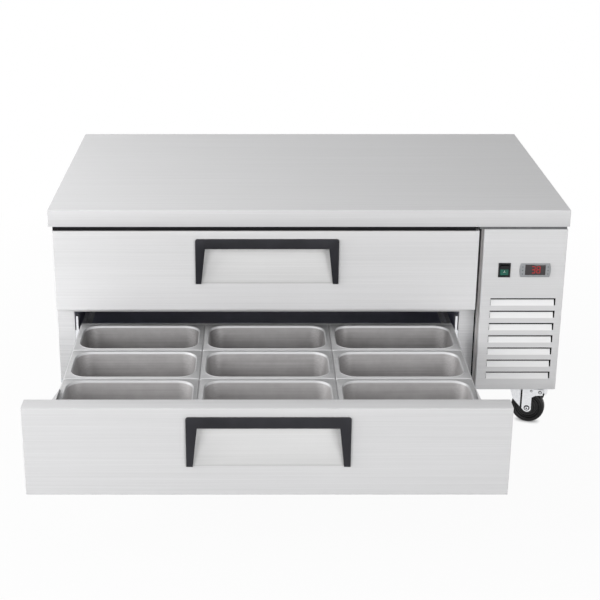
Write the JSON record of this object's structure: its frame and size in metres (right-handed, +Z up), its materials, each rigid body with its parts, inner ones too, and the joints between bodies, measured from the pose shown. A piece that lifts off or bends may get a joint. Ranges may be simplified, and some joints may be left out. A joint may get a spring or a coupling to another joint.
{
  "type": "refrigerated chef base",
  "caption": "Low refrigerated counter on casters with stacked insulated pan drawers, a louvred machine compartment at one end and a flat steel worktop.",
  "frame": {"origin": "on the floor, under the middle of the footprint with the lower drawer pulled out", "axes": "+Z up, -Y towards the user and the way the drawers open, +X to the user's right, where the machine compartment is"},
  "size_m": [1.321, 1.3898, 0.624],
  "materials": {
    "brushed_steel": "fine horizontal brushing",
    "pocket_steel": "fine brushing",
    "liner_steel": "plain mill finish",
    "pan_steel": "satin pressed steel",
    "galvanised_steel": "dull galvanised sheet",
    "zinc_plate": "bright zinc plate",
    "aluminium": "plain aluminium sheet",
    "black_enamel": "gloss black enamel",
    "black_plastic": "matt black moulding",
    "grey_plastic": "matt grey moulding",
    "switch_green": "gloss moulding, lit lower half",
    "black_rubber": "matt black rubber"
  },
  "bodies": {
    "cabinet": {"bay_cover": "brushed_steel", "caster_plate_front_left": "zinc_plate", "caster_plate_front_right": "zinc_plate", "caster_plate_rear_left": "zinc_plate", "caster_plate_rear_right": "zinc_plate", "chassis": "galvanised_steel", "compressor": "black_enamel", "condenser_coil": "aluminium", "condenser_fan_shroud": "galvanised_steel", "controller": "grey_plastic", "evaporator": "aluminium", "face_frame": "brushed_steel", "front_louvre_panel": "brushed_steel", "inner_liner": "liner_steel", "insulated_case": "brushed_steel", "lower_runner_outer_left": "zinc_plate", "lower_runner_outer_right": "zinc_plate", "switch_bezel": "black_plastic", "upper_runner_outer_left": "zinc_plate", "upper_runner_outer_right": "zinc_plate", "worktop": "brushed_steel"},
    "upper_drawer": {"upper_drawer_front": "brushed_steel", "upper_drawer_pocket": "pocket_steel", "upper_drawer_handle": "black_plastic", "upper_drawer_gasket": "black_rubber", "upper_drawer_tray": "brushed_steel", "full_pan_1": "pan_steel", "full_pan_2": "pan_steel", "full_pan_3": "pan_steel"},
    "lower_drawer": {"lower_drawer_front": "brushed_steel", "lower_drawer_pocket": "pocket_steel", "lower_drawer_handle": "black_plastic", "lower_drawer_gasket": "black_rubber", "lower_drawer_tray": "brushed_steel", "third_pan_1_1": "pan_steel", "third_pan_1_2": "pan_steel", "third_pan_1_3": "pan_steel", "third_pan_2_1": "pan_steel", "third_pan_2_2": "pan_steel", "third_pan_2_3": "pan_steel", "third_pan_3_1": "pan_steel", "third_pan_3_2": "pan_steel", "third_pan_3_3": "pan_steel"},
    "upper_runner_middle_left": {"upper_runner_middle_left": "zinc_plate"},
    "upper_runner_middle_right": {"upper_runner_middle_right": "zinc_plate"},
    "lower_runner_middle_left": {"lower_runner_middle_left": "zinc_plate"},
    "lower_runner_middle_right": {"lower_runner_middle_right": "zinc_plate"},
    "power_rocker": {"power_rocker": "switch_green"},
    "condenser_fan": {"condenser_fan": "aluminium"},
    "evaporator_fan": {"evaporator_fan": "black_plastic"},
    "caster_fork_front_left": {"caster_fork_front_left": "zinc_plate"},
    "caster_wheel_front_left": {"caster_wheel_front_left": "black_rubber"},
    "brake_pedal_front_left": {"brake_pedal_front_left": "zinc_plate"},
    "caster_fork_front_right": {"caster_fork_front_right": "zinc_plate"},
    "caster_wheel_front_right": {"caster_wheel_front_right": "black_rubber"},
    "brake_pedal_front_right": {"brake_pedal_front_right": "zinc_plate"},
    "caster_fork_rear_left": {"caster_fork_rear_left": "zinc_plate"},
    "caster_wheel_rear_left": {"caster_wheel_rear_left": "black_rubber"},
    "caster_fork_rear_right": {"caster_fork_rear_right": "zinc_plate"},
    "caster_wheel_rear_right": {"caster_wheel_rear_right": "black_rubber"}
  },
  "joints": [
    {"name": "upper_drawer_slide", "type": "slide", "parent": "cabinet", "child": "upper_drawer", "axis": [0, -1, 0], "range_m": [0, 0.6]},
    {"name": "upper_runner_middle_left_slide", "type": "slide", "parent": "cabinet", "child": "upper_runner_middle_left", "axis": [0, -1, 0], "range_m": [0, 0.3]},
    {"name": "upper_runner_middle_right_slide", "type": "slide", "parent": "cabinet", "child": "upper_runner_middle_right", "axis": [0, -1, 0], "range_m": [0, 0.3]},
    {"name": "lower_drawer_slide", "type": "slide", "parent": "cabinet", "child": "lower_drawer", "axis": [0, -1, 0], "range_m": [-0.575, 0.025]},
    {"name": "lower_runner_middle_left_slide", "type": "slide", "parent": "cabinet", "child": "lower_runner_middle_left", "axis": [0, -1, 0], "range_m": [-0.2875, 0.0125]},
    {"name": "lower_runner_middle_right_slide", "type": "slide", "parent": "cabinet", "child": "lower_runner_middle_right", "axis": [0, -1, 0], "range_m": [-0.2875, 0.0125]},
    {"name": "power_rocker_tip", "type": "hinge", "parent": "cabinet", "child": "power_rocker", "pos_m": [0.5025, -0.1108, 0.46274], "axis": [-1, 0, 0], "range_deg": [0, 18]},
    {"name": "condenser_fan_spin", "type": "hinge", "parent": "cabinet", "child": "condenser_fan", "pos_m": [0.5525, 0.0602, 0.262], "axis": [0, 1, 0], "continuous": true},
    {"name": "evaporator_fan_spin", "type": "hinge", "parent": "cabinet", "child": "evaporator_fan", "pos_m": [0.0695, 0.6208, 0.3585], "axis": [0, 1, 0], "continuous": true},
    {"name": "caster_front_left_swivel", "type": "hinge", "parent": "cabinet", "child": "caster_fork_front_left", "pos_m": [-0.582, -0.0231, 0], "axis": [0, 0, 1], "continuous": true},
    {"name": "caster_front_left_roll", "type": "hinge", "parent": "caster_fork_front_left", "child": "caster_wheel_front_left", "pos_m": [-0.55657, -0.02851, 0.0445], "axis": [0.2079, 0.9781, 0], "continuous": true},
    {"name": "brake_front_left_press", "type": "hinge", "parent": "caster_fork_front_left", "child": "brake_pedal_front_left", "pos_m": [-0.54776, -0.03038, 0.0955], "axis": [0.2079, 0.9781, 0], "range_deg": [0, 6]},
    {"name": "caster_front_right_swivel", "type": "hinge", "parent": "cabinet", "child": "caster_fork_front_right", "pos_m": [0.582, -0.0231, 0], "axis": [0, 0, 1], "continuous": true},
    {"name": "caster_front_right_roll", "type": "hinge", "parent": "caster_fork_front_right", "child": "caster_wheel_front_right", "pos_m": [0.60643, -0.03199, 0.0445], "axis": [0.342, 0.9397, 0], "continuous": true},
    {"name": "brake_front_right_press", "type": "hinge", "parent": "caster_fork_front_right", "child": "brake_pedal_front_right", "pos_m": [0.61489, -0.03507, 0.0955], "axis": [0.342, 0.9397, 0], "range_deg": [0, 6]},
    {"name": "caster_rear_left_swivel", "type": "hinge", "parent": "cabinet", "child": "caster_fork_rear_left", "pos_m": [-0.582, 0.6199, 0], "axis": [0, 0, 1], "continuous": true},
    {"name": "caster_rear_left_roll", "type": "hinge", "parent": "caster_fork_rear_left", "child": "caster_wheel_rear_left", "pos_m": [-0.60611, 0.62964, 0.0445], "axis": [-0.3746, -0.9272, 0], "continuous": true},
    {"name": "caster_rear_right_swivel", "type": "hinge", "parent": "cabinet", "child": "caster_fork_rear_right", "pos_m": [0.582, 0.6199, 0], "axis": [0, 0, 1], "continuous": true},
    {"name": "caster_rear_right_roll", "type": "hinge", "parent": "caster_fork_rear_right", "child": "caster_wheel_rear_right", "pos_m": [0.60575, 0.63048, 0.0445], "axis": [-0.4067, 0.9135, 0], "continuous": true}
  ],
  "couplings": [
    {"joint": "upper_runner_middle_left_slide", "follows": "upper_drawer_slide", "ratio": 0.5},
    {"joint": "upper_runner_middle_right_slide", "follows": "upper_drawer_slide", "ratio": 0.5},
    {"joint": "lower_runner_middle_left_slide", "follows": "lower_drawer_slide", "ratio": 0.5},
    {"joint": "lower_runner_middle_right_slide", "follows": "lower_drawer_slide", "ratio": 0.5}
  ]
}
